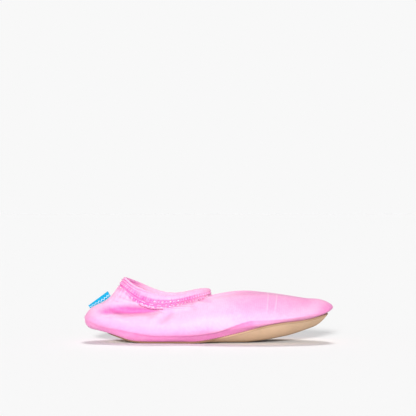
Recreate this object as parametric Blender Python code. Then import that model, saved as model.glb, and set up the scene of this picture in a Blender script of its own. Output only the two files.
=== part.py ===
"""Soft slip-on pool shoe: satin upper, elasticated collar, thin cupped sole.

+X points to the toe, +Z up, and the shoe stands on its sole at Z = 0. While it is modelled, X is measured
from the back of the heel, and the finished pieces are then centred on the shoe's length.
"""

import math

import bmesh
import bpy
import numpy as np

# Driving sizes, in metres. Both heights are measured from the top of the sole
SHOE_LENGTH = 0.240
BALL_WIDTH = 0.078
VAMP_HEIGHT = 0.0472
COLLAR_HEIGHT = 0.0602
UPPER_WALL = 0.0012
SOLE_THICKNESS = 0.0015
INSOLE_THICKNESS = 0.0012
MARGIN_WIDTH = 0.005
BINDING_THICKNESS = 0.0034
BINDING_LIFT = 0.0005
SEAM_GAP = 0.0003

# How the sole's underside leaves the floor: where the flat ends, as shares of the length, the slope that the
# sole then takes, and the length over which it bends up to that slope
HEEL_FLAT_AT = 0.205
HEEL_SLOPE = 0.40
HEEL_BEND = 0.014
BALL_FLAT_AT = 0.608
TOE_SLOPE = 0.26
TOE_BEND = 0.040

# The cup of the sole: how far its edge rises over its middle at the ball, the share of the half-width that
# stays flat across, the power by which the rest curls up, and the depth along the shoe as (share of the
# length, share of the depth)
CUP_DEPTH = 0.014
CUP_FLAT_SHARE = 0.30
CUP_POWER = 2
CUP_STATIONS = ((0.12, 0.07), (0.20, 0), (0.42, 0), (0.74, 1), (0.93, 0.61))

# The sole's outline: both ends as shares of the length, and half-widths as shares of half the ball width
SOLE_BACK = 0.082
SOLE_TIP = 0.980
SOLE_HALF_WIDTHS = {"toe": 0.620, "ball": 0.870, "waist": 0.600, "heel": 0.540}
SPINE_INSET = 0.022

# The upper's girth lines, from the sole to the collar. back and tip are shares of the length, half-widths are
# shares of half the ball width, and rises over the sole are shares of the vamp's height (rise_tip, rise_toe,
# rise_ball) or of the collar's height (rise_waist, rise_heel, rise_back)
GIRTH_COLUMNS = (
    "back", "tip",
    "half_toe", "half_ball", "half_waist", "half_heel",
    "rise_tip", "rise_toe", "rise_ball", "rise_waist", "rise_heel", "rise_back",
)
GIRTH_LINES = {
    "under": (0.018, 0.990, 0.672, 0.950, 0.715, 0.520, 0.214, 0.218, 0.305, 0.042, 0.035, -0.056),
    "belly": (0.000, 1.000, 0.705, 1.000, 0.815, 0.595, 0.270, 0.262, 0.375, 0.134, 0.144, 0.037),
    "side": (0.017, 0.950, 0.630, 0.940, 0.805, 0.560, 0.490, 0.490, 0.620, 0.283, 0.313, 0.231),
    "shoulder": (0.056, 0.830, 0.450, 0.725, 0.640, 0.415, 0.713, 0.830, 0.783, 0.426, 0.426, 0.385),
    "crest": (0.100, 0.655, 0.330, 0.615, 0.570, 0.335, 0.995, 0.959, 0.773, 0.513, 0.611, 0.564),
    "neck": (0.131, 0.512, 0.300, 0.525, 0.545, 0.310, 0.912, 0.856, 0.732, 0.580, 0.754, 0.769),
    "rim": (0.162, 0.496, 0.275, 0.475, 0.500, 0.275, 1.050, 1.042, 0.954, 0.805, 0.954, 0.985),
}

# The folded ribbon sewn into the seam up the back of the heel: its lower and upper ends' heights over the
# floor, as shares of the collar's height, and how far it stands out at each
LABEL_LOW_AT = 0.525
LABEL_HIGH_AT = 0.725
LABEL_LOW_REACH = 0.0033
LABEL_HIGH_REACH = 0.0054
LABEL_THICKNESS = 0.0012

POINTS_AROUND = 64
ROWS_FROM_LINE_TO_LINE = (2, 2, 2, 4, 4, 2)
ROWS_OF_THE_CUP = 4
ROWS_OF_THE_MARGIN = 3
BINDING_SECTION_POINTS = 12
LABEL_POINTS = 7

# The six stations round a girth line, from its tip to its back, half-way round
STATION_ANGLES = np.arange(6) * math.pi / 5


def mix(start, end, share):
    return start + (end - start) * share


def ease(share):
    """0 up to 0, 1 from 1 on, and smooth in between."""
    share = np.clip(share, 0, 1)
    return share * share * (3 - 2 * share)


def bend_up(reach, slope, bend):
    """Height gained past the flat: an arc while the sheet bends, then straight at the slope."""
    reach = np.maximum(reach, 0)
    return slope * np.where(reach < bend, reach**2 / (2 * bend), reach - bend / 2)


def sole_middle(x):
    """Height of the sole's underside along its middle."""
    heel = bend_up(HEEL_FLAT_AT * SHOE_LENGTH - x, HEEL_SLOPE, HEEL_BEND)
    toe = bend_up(x - BALL_FLAT_AT * SHOE_LENGTH, TOE_SLOPE, TOE_BEND)
    return heel + toe


def sole_cup(x):
    """How far the sole's edge rises over its middle, eased from each station of the table to the next."""
    share = x / SHOE_LENGTH
    depth = CUP_STATIONS[0][1]
    for (start, before), (end, after) in zip(CUP_STATIONS, CUP_STATIONS[1:]):
        depth = depth + (after - before) * ease((share - start) / (end - start))
    return CUP_DEPTH * depth


def angles_around():
    return np.arange(POINTS_AROUND) * 2 * math.pi / POINTS_AROUND


def lengthwise(back, tip, angles):
    """X round a line that runs from back to tip, as shares of the length."""
    return SHOE_LENGTH * mix(back, tip, (1 + np.cos(angles)) / 2)


def half_widths_around(widths, angles):
    """Y round a line: the sine series through its half-widths at toe, ball, waist and heel."""
    orders = np.arange(1, 5)
    series = np.linalg.solve(np.sin(np.outer(STATION_ANGLES[1:5], orders)), np.array(widths))
    return np.sin(np.outer(angles, orders)) @ series


def rises_around(rises, angles):
    """Rise round a line: the cosine series through its rises at the six stations."""
    orders = np.arange(6)
    series = np.linalg.solve(np.cos(np.outer(STATION_ANGLES, orders)), np.array(rises))
    return np.cos(np.outer(angles, orders)) @ series


def girth_line(name):
    """Points round one of the upper's girth lines."""
    row = dict(zip(GIRTH_COLUMNS, GIRTH_LINES[name]))
    angles = angles_around()
    x = lengthwise(row["back"], row["tip"], angles)
    widths = [row["half_" + station] * BALL_WIDTH / 2 for station in ("toe", "ball", "waist", "heel")]
    rises = [row["rise_" + station] * VAMP_HEIGHT for station in ("tip", "toe", "ball")]
    rises += [row["rise_" + station] * COLLAR_HEIGHT for station in ("waist", "heel", "back")]
    y = half_widths_around(widths, angles)
    z = sole_middle(x) + SOLE_THICKNESS + rises_around(rises, angles)
    return np.stack([x, y, z], axis=1)


def underside_point(angles, across):
    """The sole's underside, from its spine (across = 0) to its edge (across = 1)."""
    inset = SPINE_INSET / SHOE_LENGTH * (1 - across)
    x = lengthwise(SOLE_BACK + inset, SOLE_TIP - inset, angles)
    widths = [SOLE_HALF_WIDTHS[station] * BALL_WIDTH / 2 for station in ("toe", "ball", "waist", "heel")]
    y = half_widths_around(widths, angles) * across
    curl = max(across - CUP_FLAT_SHARE, 0) / (1 - CUP_FLAT_SHARE)
    z = sole_middle(x) + sole_cup(x) * curl**CUP_POWER
    return np.stack([x, y, z], axis=-1)


def sole_ring(across, lift):
    """A ring on the sole, lifted off its underside along the surface's own normal."""
    angles = angles_around()
    step = 1e-4
    share = max(across, CUP_FLAT_SHARE / 2)
    around = underside_point(angles + step, share) - underside_point(angles - step, share)
    outward = underside_point(angles, share + step) - underside_point(angles, share - step)
    normals = np.cross(outward, around)
    normals /= np.linalg.norm(normals, axis=1, keepdims=True)
    if across == 0:
        normals = normals + normals[-np.arange(POINTS_AROUND)]
        normals /= np.linalg.norm(normals, axis=1, keepdims=True)
    return underside_point(angles, across) + normals * lift


def width_share(width):
    """A width as a share of the sole's half-width at the waist."""
    return width / (SOLE_HALF_WIDTHS["waist"] * BALL_WIDTH / 2)


def inner_shares():
    """Where the sheets under the foot have their rings: spine, edge of the flat, and on to the margin."""
    return [0, *np.linspace(CUP_FLAT_SHARE, 1 - width_share(MARGIN_WIDTH), ROWS_OF_THE_CUP)]


def margin_shares():
    """Where the upper's turned-in margin has its rings, the last at the sole's edge."""
    return np.linspace(1 - width_share(MARGIN_WIDTH), 1, ROWS_OF_THE_MARGIN)


def spline_rows(lines, steps):
    """Rows on the smooth surface through the lines: a natural cubic spline up each meridian, with its knots
    spaced by the root of their distance, and so many steps from each line to the next."""
    lines = np.array(lines)
    last = len(lines) - 1
    gaps = np.linalg.norm(np.diff(lines, axis=0), axis=2)[:, :, None] ** 0.5
    rises = np.diff(lines, axis=0) / gaps
    matrix = np.zeros((lines.shape[1], last + 1, last + 1))
    right = np.zeros_like(lines)
    matrix[:, 0, 0] = matrix[:, last, last] = 1
    for i in range(1, last):
        before, after = gaps[i - 1, :, 0], gaps[i, :, 0]
        matrix[:, i, i - 1], matrix[:, i, i], matrix[:, i, i + 1] = before, 2 * (before + after), after
        right[i] = 6 * (rises[i] - rises[i - 1])
    bends = np.linalg.solve(matrix, right.transpose(1, 0, 2)).transpose(1, 0, 2)
    rows = [lines[0]]
    for i, count in enumerate(steps):
        for share in np.arange(1, count + 1) / count:
            rest = 1 - share
            low = bends[i] * (rest**3 - rest) + bends[i + 1] * (share**3 - share)
            rows.append(mix(lines[i], lines[i + 1], share) + low * gaps[i] ** 2 / 6)
    return rows


def upper_rows():
    """Rows of the upper's outer face, from the inner edge of the turned-in margin up to the neck."""
    lift = SOLE_THICKNESS + SEAM_GAP
    margin = [sole_ring(share, lift) for share in margin_shares()]
    lines = [girth_line(name) for name in ("under", "belly", "side", "shoulder", "crest", "neck")]
    return margin[:-1] + spline_rows([margin[-1], *lines], ROWS_FROM_LINE_TO_LINE)


def material(name, colour, roughness):
    made = bpy.data.materials.new(name)
    made.use_nodes = True
    shader = made.node_tree.nodes["Principled BSDF"]
    shader.inputs["Base Color"].default_value = (*colour, 1)
    shader.inputs["Roughness"].default_value = roughness
    shader.inputs["Metallic"].default_value = 0
    return made


def add_object(name, mesh, finish):
    """Turns a bmesh into a named object, its normals outward and its quads split the same way in each sheet."""
    bmesh.ops.triangulate(mesh, faces=mesh.faces, quad_method="SHORT_EDGE")
    bmesh.ops.recalc_face_normals(mesh, faces=mesh.faces)
    data = bpy.data.meshes.new(name)
    mesh.to_mesh(data)
    mesh.free()
    data.materials.append(finish)
    data.shade_smooth()
    data.set_sharp_from_angle(angle=math.radians(50))
    made = bpy.data.objects.new(name, data)
    bpy.context.scene.collection.objects.link(made)
    return made


def loft(name, rings, finish, joined_ends=False):
    """An object whose faces run from each closed ring to the next, and from the last to the first if asked."""
    mesh = bmesh.new()
    rows = [[mesh.verts.new(point) for point in ring] for ring in rings]
    pairs = list(zip(rows, rows[1:]))
    if joined_ends:
        pairs.append((rows[-1], rows[0]))
    for low, high in pairs:
        for i in range(len(low)):
            j = (i + 1) % len(low)
            mesh.faces.new((low[i], low[j], high[j], high[i]))
    bmesh.ops.remove_doubles(mesh, verts=mesh.verts, dist=1e-6)
    return add_object(name, mesh, finish)


def make_plate(name, shares, bottom_lift, thickness, finish):
    """A sheet that follows the sole, with rings at these shares of its half-width."""
    below = [sole_ring(share, bottom_lift) for share in shares]
    above = [sole_ring(share, bottom_lift + thickness) for share in shares]
    return loft(name, below + above[::-1], finish)


def make_outsole(finish):
    return make_plate("outsole", [*inner_shares(), *margin_shares()[1:]], 0, SOLE_THICKNESS, finish)


def make_insole(finish):
    shares = inner_shares()
    shares[-1] -= width_share(SEAM_GAP)
    return make_plate("insole", shares, SOLE_THICKNESS + SEAM_GAP, INSOLE_THICKNESS, finish)


def make_upper(finish):
    upper = loft("upper", upper_rows(), finish)
    wall = upper.modifiers.new("wall", "SOLIDIFY")
    wall.thickness = UPPER_WALL
    wall.offset = -1
    wall.use_even_offset = False
    wall.use_quality_normals = True
    return upper


def make_binding(finish):
    """The casing: an upright oval section carried round the opening, from the upper's edge to the rim."""
    neck, rim = girth_line("neck"), girth_line("rim")
    around = np.roll(rim, -1, axis=0) - np.roll(rim, 1, axis=0)
    up = rim - neck
    height = np.linalg.norm(up, axis=1, keepdims=True)
    up /= height
    out = np.cross(around, up)
    out /= np.linalg.norm(out, axis=1, keepdims=True)
    base = neck + up * BINDING_LIFT - out * UPPER_WALL / 2
    rings = []
    for turn in np.arange(BINDING_SECTION_POINTS) * 2 * math.pi / BINDING_SECTION_POINTS:
        side = math.copysign(abs(math.cos(turn)) ** 0.6, math.cos(turn))
        lift = (1 + math.copysign(abs(math.sin(turn)) ** 0.8, math.sin(turn))) / 2
        rings.append(base + up * (height - BINDING_LIFT) * lift + out * side * BINDING_THICKNESS / 2)
    return loft("collar_binding", rings, finish, joined_ends=True)


def make_label(finish):
    """A flat ribbon on edge in the shoe's middle plane: one side follows the heel, the free side is straight."""
    heel = np.array(upper_rows())[:, POINTS_AROUND // 2]
    heel = heel[np.argmin(heel[:, 0]) :]
    z = np.linspace(LABEL_LOW_AT, LABEL_HIGH_AT, LABEL_POINTS) * COLLAR_HEIGHT
    x = np.interp(z, heel[:, 2], heel[:, 0])
    run, climb = x[-1] - x[0], z[-1] - z[0]
    out = np.array([-climb, run]) / math.hypot(run, climb)
    seam = np.stack([x, z], axis=1) + out * SEAM_GAP
    free = np.array([seam[-1] + out * LABEL_HIGH_REACH, seam[0] + out * LABEL_LOW_REACH])
    mesh = bmesh.new()
    outline = [mesh.verts.new((x, -LABEL_THICKNESS / 2, z)) for x, z in np.concatenate([seam, free])]
    face = mesh.faces.new(outline)
    pushed = bmesh.ops.extrude_face_region(mesh, geom=[face])["geom"]
    corners = [item for item in pushed if isinstance(item, bmesh.types.BMVert)]
    bmesh.ops.translate(mesh, verts=corners, vec=(0, LABEL_THICKNESS, 0))
    return add_object("heel_label", mesh, finish)


def main():
    for old in list(bpy.data.objects):
        bpy.data.objects.remove(old)
    satin = material("pink_satin", (0.93, 0.42, 0.72), 0.4)
    suede = material("tan_suede", (0.62, 0.42, 0.27), 0.85)
    cotton = material("pink_cotton", (0.90, 0.55, 0.74), 0.8)
    ribbon = material("aqua_ribbon", (0.02, 0.53, 0.89), 0.6)
    pieces = [
        make_outsole(suede),
        make_insole(cotton),
        make_upper(satin),
        make_binding(satin),
        make_label(ribbon),
    ]
    for piece in pieces:
        piece.location.x = -SHOE_LENGTH / 2


main()
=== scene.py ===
import math

import bmesh
import bpy
import numpy as np
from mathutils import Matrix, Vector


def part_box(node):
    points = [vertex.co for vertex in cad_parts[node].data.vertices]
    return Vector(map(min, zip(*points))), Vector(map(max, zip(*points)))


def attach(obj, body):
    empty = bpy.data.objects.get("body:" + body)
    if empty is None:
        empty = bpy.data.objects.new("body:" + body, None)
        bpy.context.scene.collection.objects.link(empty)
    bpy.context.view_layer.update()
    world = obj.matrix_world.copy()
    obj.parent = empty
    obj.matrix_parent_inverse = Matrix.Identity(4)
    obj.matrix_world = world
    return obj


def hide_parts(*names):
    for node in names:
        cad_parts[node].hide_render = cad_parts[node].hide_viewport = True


# Pool shoe: gathered satin upper, elastic casing, thin cupped sole. Metres; x runs from heel to toe.
# Shapes are worked out with x from the back of the heel, and placed in the frame by centred()

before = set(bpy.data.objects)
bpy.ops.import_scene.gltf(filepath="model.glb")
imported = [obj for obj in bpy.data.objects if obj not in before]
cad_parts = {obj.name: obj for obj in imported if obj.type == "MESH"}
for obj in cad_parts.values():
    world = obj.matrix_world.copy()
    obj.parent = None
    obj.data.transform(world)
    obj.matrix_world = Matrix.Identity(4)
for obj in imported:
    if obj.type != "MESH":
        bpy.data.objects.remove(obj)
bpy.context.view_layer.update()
upperLow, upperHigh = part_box("upper")
print("frame loaded:", sorted(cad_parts))

shoe = {
    "length": upperHigh.x - upperLow.x,
    "ballWidth": 0.078,
    "vampHeight": 0.0472,  # over the top of the sole
    "collarHeight": 0.0602,
    "wall": 0.0012,
    "soleThickness": 0.0015,
    "insoleThickness": 0.0012,
    "marginWidth": 0.005,
    "seamGap": 0.0003,
}

soleForm = {
    "heelFlatAt": 0.205, "heelSlope": 0.40, "heelBend": 0.014,
    "ballFlatAt": 0.608, "toeSlope": 0.26, "toeBend": 0.040,
    "cupDepth": 0.014, "cupFlatShare": 0.30,
    "cupStations": ((0.12, 0.07), (0.20, 0), (0.42, 0), (0.74, 1), (0.93, 0.61)),  # share of length, of depth
    "back": 0.082, "tip": 0.980,
    "heelEase": (0.270, 0.045),  # worn rounder under the heel: share of the length where it starts, and bend
    "tipRound": (0.199, 0.016, 0.0012),  # and fuller under the toes: x, half-width, and how much lower
    "halfWidths": (0.620, 0.870, 0.600, 0.540),  # toe, ball, waist, heel; shares of half the ball width
    "spineInset": 0.022,
}

# Girth lines from the sole to the rim: back and tip as shares of the length, half-widths at toe, ball, waist
# and heel as shares of half the ball width, then rises over the sole at tip, toe and ball as shares of the
# vamp's height and at waist, heel and back as shares of the collar's height
girthLines = {
    "under": (0.018, 0.990, 0.672, 0.950, 0.715, 0.520, 0.214, 0.218, 0.305, 0.042, 0.035, -0.056),
    "belly": (0.000, 1.000, 0.705, 1.000, 0.815, 0.595, 0.270, 0.262, 0.375, 0.134, 0.144, 0.037),
    "side": (0.017, 0.950, 0.630, 0.940, 0.805, 0.560, 0.490, 0.490, 0.620, 0.283, 0.313, 0.231),
    "shoulder": (0.056, 0.830, 0.450, 0.725, 0.640, 0.415, 0.713, 0.830, 0.783, 0.426, 0.426, 0.385),
    "crest": (0.100, 0.655, 0.330, 0.615, 0.570, 0.335, 0.995, 0.959, 0.773, 0.513, 0.611, 0.564),
    "neck": (0.131, 0.512, 0.300, 0.525, 0.545, 0.310, 0.912, 0.856, 0.732, 0.580, 0.754, 0.769),
    "rim": (0.162, 0.496, 0.275, 0.475, 0.500, 0.275, 1.050, 1.042, 0.954, 0.805, 0.954, 0.985),
}

# the collar sags a little behind the ankle, on the side towards the camera
collarDip = {
    "depth": 0.0030,
    "range": (0.036, 0.050, 0.088),  # x where it starts, is full and ends
    "sideWidth": 0.010,
    "share": {"rim": 1.0, "neck": 1.0, "crest": 0.5},
}

stationAngles = np.arange(6) * math.pi / 5  # tip, toe, ball, waist, heel, back


# shared formulas


def mix(start, end, share):
    return start + (end - start) * share


def ease(share):  # 0 up to 0, 1 from 1 on, smooth in between
    share = np.clip(share, 0, 1)
    return share * share * (3 - 2 * share)


def rising(values, start, width):  # 0 up to the start, eased to 1 over the width
    return ease((values - start) / width)


def falling(values, end, width):  # 0 from the end on, eased down from 1 over the width before it
    return ease((end - values) / width)


def powerOf(values, power):  # the size raised to the power, with the sign kept
    return np.sign(values) * np.abs(values) ** power


def hump(distance, width):  # 1 at distance 0, falling away like a bell of that half-width
    return np.exp(-((distance / width) ** 2))


def anglesAround(count):
    return np.arange(count) * 2 * math.pi / count


def centred(points):  # from x measured at the heel to the frame's x
    return points - np.array([shoe["length"] / 2, 0, 0])


def bendUp(reach, slope, bend):  # height gained past a flat: an arc over the bend, then straight at the slope
    reach = np.maximum(reach, 0)
    return slope * np.where(reach < bend, reach**2 / (2 * bend), reach - bend / 2)


def soleMiddle(x):  # underside along the middle: flat, with the heel and the toe bent up
    heel = bendUp(soleForm["heelFlatAt"] * shoe["length"] - x, soleForm["heelSlope"], soleForm["heelBend"])
    toe = bendUp(x - soleForm["ballFlatAt"] * shoe["length"], soleForm["toeSlope"], soleForm["toeBend"])
    return heel + toe


def soleCup(x):  # how far the edge rises over the middle, eased from station to station
    stations = soleForm["cupStations"]
    share = x / shoe["length"]
    depth = stations[0][1]
    for (start, before), (end, after) in zip(stations, stations[1:]):
        depth = depth + (after - before) * ease((share - start) / (end - start))
    return soleForm["cupDepth"] * depth


def lengthwise(back, tip, angles):  # x = length * share between back and tip, by the cosine of the angle
    return shoe["length"] * mix(back, tip, (1 + np.cos(angles)) / 2)


def halfWidthAround(shares, angles):  # y = sine series through the half-widths at toe, ball, waist and heel
    orders = np.arange(1, 5)
    halfWidths = np.array(shares) * shoe["ballWidth"] / 2
    series = np.linalg.solve(np.sin(np.outer(stationAngles[1:5], orders)), halfWidths)
    return np.sin(np.asarray(angles)[..., None] * orders) @ series


def riseAround(rises, angles):  # rise = cosine series through the rises at the six stations
    orders = np.arange(6)
    series = np.linalg.solve(np.cos(np.outer(stationAngles, orders)), np.array(rises))
    return np.cos(np.asarray(angles)[..., None] * orders) @ series


def girthLine(name, angles):  # (x, y, z) round one girth line, z over the sole's own middle
    back, tip, *rest = girthLines[name]
    x = lengthwise(back, tip, angles)
    rises = [share * shoe["vampHeight"] for share in rest[4:7]]
    rises += [share * shoe["collarHeight"] for share in rest[7:]]
    z = soleMiddle(x) + shoe["soleThickness"] + riseAround(rises, angles)
    y = halfWidthAround(rest[:4], angles)
    if name in collarDip["share"]:
        start, full, end = collarDip["range"]
        sag = collarDip["share"][name] * collarDip["depth"] * ease(-y / collarDip["sideWidth"])
        z = z - sag * rising(x, start, full - start) * falling(x, end, end - full)
    return np.stack([x, y, z], axis=-1)


def soleUnderside(angles, across):
    # across 0 is the spine and 1 the edge; z = middle + cup * curl squared, with the heel bent up sooner
    # and the middle a little lower under the toes
    inset = soleForm["spineInset"] / shoe["length"] * (1 - across)
    x = lengthwise(soleForm["back"] + inset, soleForm["tip"] - inset, angles)
    y = halfWidthAround(soleForm["halfWidths"], angles) * across
    curl = np.maximum(across - soleForm["cupFlatShare"], 0) / (1 - soleForm["cupFlatShare"])
    flatAt, bend = soleForm["heelEase"]
    length, slope = shoe["length"], soleForm["heelSlope"]
    sooner = bendUp(flatAt * length - x, slope, bend)
    sooner = sooner - bendUp(soleForm["heelFlatAt"] * length - x, slope, soleForm["heelBend"])
    at, width, drop = soleForm["tipRound"]
    z = soleMiddle(x) + soleCup(x) * curl**2
    z = z + np.maximum(sooner, 0) - drop * hump(x - at, width) * (1 - curl**2)
    return np.stack(np.broadcast_arrays(x, y, z), axis=-1)


def unit(vectors):
    return vectors / np.linalg.norm(vectors, axis=-1, keepdims=True)


def alongRow(row):  # unit vectors along a closed row of points, from the point before to the one after
    return unit(np.roll(row, -1, axis=0) - np.roll(row, 1, axis=0))


def stepsRound(row):  # distance from each point of a closed row to the next
    return np.linalg.norm(np.roll(row, -1, axis=0) - row, axis=1)


def runningSum(steps):  # 0, then the sum of the steps so far
    return np.concatenate([[0], np.cumsum(steps)])


def climbUp(rows):  # distance up each meridian from the first row
    steps = np.linalg.norm(np.diff(rows, axis=0), axis=2)
    return np.concatenate([np.zeros((1, rows.shape[1])), np.cumsum(steps, axis=0)])


def pickedRows(first, last, count):  # that many row numbers from the last back to the first
    return np.unique(np.linspace(first, last, count).astype(int))[::-1]


def shareAtWaist(width):  # a width as a share of the way from the spine to the sole's edge at the waist
    return width / (soleForm["halfWidths"][2] * shoe["ballWidth"] / 2)


def soleFrame(angles, across):  # outward and upward unit vectors of the sole's surface
    step = 1e-4
    share = np.maximum(across, soleForm["cupFlatShare"] / 2)
    around = soleUnderside(angles + step, share) - soleUnderside(angles - step, share)
    outward = soleUnderside(angles, share + step) - soleUnderside(angles, share - step)
    upward = unit(np.cross(outward, around))
    upward[..., 1] *= np.broadcast_to(across > 0, upward.shape[:-1])
    return unit(np.cross(around, unit(upward))), unit(upward)


def solePoint(angles, across, lift):  # underside + normal * lift
    return soleUnderside(angles, across) + soleFrame(angles, across)[1] * lift


def splineUp(lines, levels):
    # a natural cubic spline up each meridian through the lines, with knots spaced by the root of their
    # distance; level 0 is the first line and every whole number the next one
    last = len(lines) - 1
    gaps = np.linalg.norm(np.diff(lines, axis=0), axis=2)[:, :, None] ** 0.5
    rises = np.diff(lines, axis=0) / gaps
    matrix = np.zeros((lines.shape[1], last + 1, last + 1))
    right = np.zeros_like(lines)
    matrix[:, 0, 0] = matrix[:, last, last] = 1
    for i in range(1, last):
        before, after = gaps[i - 1, :, 0], gaps[i, :, 0]
        matrix[:, i, i - 1], matrix[:, i, i], matrix[:, i, i + 1] = before, 2 * (before + after), after
        right[i] = 6 * (rises[i] - rises[i - 1])
    bends = np.linalg.solve(matrix, right.transpose(1, 0, 2)).transpose(1, 0, 2)
    low = np.minimum(levels.astype(int), last - 1)
    share = (levels - low)[:, None, None]
    rest = 1 - share
    bent = bends[low] * (rest**3 - rest) + bends[low + 1] * (share**3 - share)
    return mix(lines[low], lines[low + 1], share) + bent * gaps[low] ** 2 / 6


def surfaceNormals(grid):  # unit cross product of the differences round each row and up the rows
    around = np.roll(grid, -1, axis=1) - np.roll(grid, 1, axis=1)
    upward = np.gradient(grid, axis=0)
    return unit(np.cross(around, upward))


def smoothed(values, rounds):  # half of each value and a quarter of each neighbour, first round and then up
    for _ in range(rounds):
        values = values / 2 + (np.roll(values, 1, axis=1) + np.roll(values, -1, axis=1)) / 4
        padded = np.concatenate([values[:1], values, values[-1:]])
        values = values / 2 + (padded[2:] + padded[:-2]) / 4
    return values


def curveThrough(x, knots, values):
    # cubic between knots, with each knot's slope taken from its neighbours
    knots, values = np.array(knots), np.array(values)
    slopes = np.gradient(values, knots)
    i = np.clip(np.searchsorted(knots, x) - 1, 0, len(knots) - 2)
    width = knots[i + 1] - knots[i]
    t = np.clip((x - knots[i]) / width, 0, 1)
    start = values[i] * (2 * t**3 - 3 * t**2 + 1) + slopes[i] * width * (t**3 - 2 * t**2 + t)
    return start + values[i + 1] * (3 * t**2 - 2 * t**3) + slopes[i + 1] * width * (t**3 - t**2)


def pathDistance(first, second, path):
    # distance of each (first, second) from a path of straight runs, and how far along it the nearest
    # point is
    nearest = np.full(first.shape, np.inf)
    along = np.zeros(first.shape)
    path = np.array(path)
    lengths = np.linalg.norm(np.diff(path, axis=0), axis=1)
    travelled = runningSum(lengths) / lengths.sum()
    for i, (start, end) in enumerate(zip(path, path[1:])):
        run = end - start
        share = np.clip(((first - start[0]) * run[0] + (second - start[1]) * run[1]) / (run @ run), 0, 1)
        distance = np.hypot(first - start[0] - run[0] * share, second - start[1] - run[1] * share)
        closer = distance < nearest
        nearest = np.where(closer, distance, nearest)
        along = np.where(closer, mix(travelled[i], travelled[i + 1], share), along)
    return nearest, along


# making pieces


def addObject(name, data):
    added = bpy.data.objects.new(name, data)
    bpy.context.scene.collection.objects.link(added)
    return added


def makePiece(name, points, quads, finish, stands=(), uv=None, values=None):
    # points and quads as arrays, uv and values with one entry a point; all faces are turned over where the
    # volume that they enclose comes out negative
    corners = points[quads]
    cross = np.cross(corners[:, 2] - corners[:, 0], corners[:, 3] - corners[:, 1])
    if (corners.mean(axis=1) * cross).sum() < 0:
        quads = quads[:, ::-1]
    mesh = bpy.data.meshes.new(name)
    mesh.from_pydata(points.tolist(), [], quads.tolist())
    if uv is not None:
        layer = mesh.uv_layers.new(name="cloth")
        layer.data.foreach_set("uv", uv[quads].astype(np.float32).ravel())
    for title, amounts in (values or {}).items():
        layer = mesh.attributes.new(title, "FLOAT", "POINT")
        layer.data.foreach_set("value", amounts.astype(np.float32).ravel())
    joined = bmesh.new()
    joined.from_mesh(mesh)
    bmesh.ops.remove_doubles(joined, verts=joined.verts, dist=1e-6)
    joined.to_mesh(mesh)
    joined.free()
    mesh.shade_smooth()
    mesh.materials.append(finish)
    piece = addObject(name, mesh)
    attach(piece, "root")
    if stands:
        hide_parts(*stands)
    print(name, "made with", len(mesh.polygons), "faces")
    return piece


def gridQuads(rows, around, joinedRows=True):  # each row's points joined to the next row's, round and round
    lower = np.arange(rows if joinedRows else rows - 1)
    a, b = np.meshgrid(lower, np.arange(around), indexing="ij")
    beside = (b + 1) % around
    a, upper = a * around, (a + 1) % rows * around
    return np.stack([a + b, a + beside, upper + beside, upper + b], axis=-1).reshape(-1, 4)


def makeSheet(name, rows, uv, finish, stands, values):  # a closed skin of joined rings
    return makePiece(
        name, centred(rows.reshape(-1, 3)), gridQuads(*rows.shape[:2]), finish, stands,
        uv.reshape(-1, 2), values,
    )


def shapeNode(tree, kind, **settings):  # a node with its sockets and settings given by name
    node = tree.nodes.new(kind)
    for name, value in settings.items():
        if name in node.inputs:
            node.inputs[name].default_value = value
        else:
            setattr(node, name, value)
    return node


def setSocket(tree, socket, value):  # linked where the value is another node's output, and otherwise set
    if hasattr(value, "links"):
        tree.links.new(value, socket)
    else:
        socket.default_value = value


def mathNode(tree, operation, first, second=0.0):
    node = tree.nodes.new("ShaderNodeMath")
    node.operation = operation
    for socket, value in zip(node.inputs, (first, second)):
        setSocket(tree, socket, value)
    return node.outputs[0]


def plus(tree, first, second):
    return mathNode(tree, "ADD", first, second)


def minus(tree, first, second):
    return mathNode(tree, "SUBTRACT", first, second)


def times(tree, first, second):
    return mathNode(tree, "MULTIPLY", first, second)


def swing(tree, pattern, amount):  # (pattern - a half) * amount
    return times(tree, minus(tree, pattern, 0.5), amount)


def mixNode(tree, share, first, second):  # colour between the first and second, by share
    node = tree.nodes.new("ShaderNodeMix")
    node.data_type = "RGBA"
    for number, value in ((0, share), (6, first), (7, second)):
        setSocket(tree, node.inputs[number], (*value, 1) if isinstance(value, tuple) else value)
    return node.outputs[2]


def valueOf(tree, title):
    return shapeNode(tree, "ShaderNodeAttribute", attribute_name=title).outputs["Fac"]


def objectPlace(tree):
    return tree.nodes.new("ShaderNodeTexCoord").outputs["Object"]


def clothPlace(tree):
    return shapeNode(tree, "ShaderNodeUVMap", uv_map="cloth").outputs[0]


def axesOf(tree, vector):
    split = tree.nodes.new("ShaderNodeSeparateXYZ")
    tree.links.new(vector, split.inputs[0])
    return split.outputs


def paint(tree, shader, colour):
    tree.links.new(colour, shader.inputs["Base Color"])


def newMaterial(name, roughness, **sockets):
    material = bpy.data.materials.new(name)
    material.use_nodes = True
    shader = material.node_tree.nodes["Principled BSDF"]
    shader.inputs["Roughness"].default_value = roughness
    for title, value in sockets.items():
        shader.inputs[title].default_value = value
    return material, material.node_tree, shader


def weave(tree, coordinates, pitch):  # 0 to 1: threads under and over, from two crossed sets of bands
    axes = axesOf(tree, coordinates)
    turns = 2 * math.pi / pitch
    warp, weft = (mathNode(tree, "SINE", times(tree, axes[i], turns)) for i in (0, 1))
    return plus(tree, times(tree, times(tree, warp, weft), 0.5), 0.5)


def noise(tree, coordinates, scale, detail=3.0):
    node = shapeNode(tree, "ShaderNodeTexNoise", Scale=scale, Detail=detail)
    tree.links.new(coordinates, node.inputs["Vector"])
    return node.outputs[0]


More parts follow.
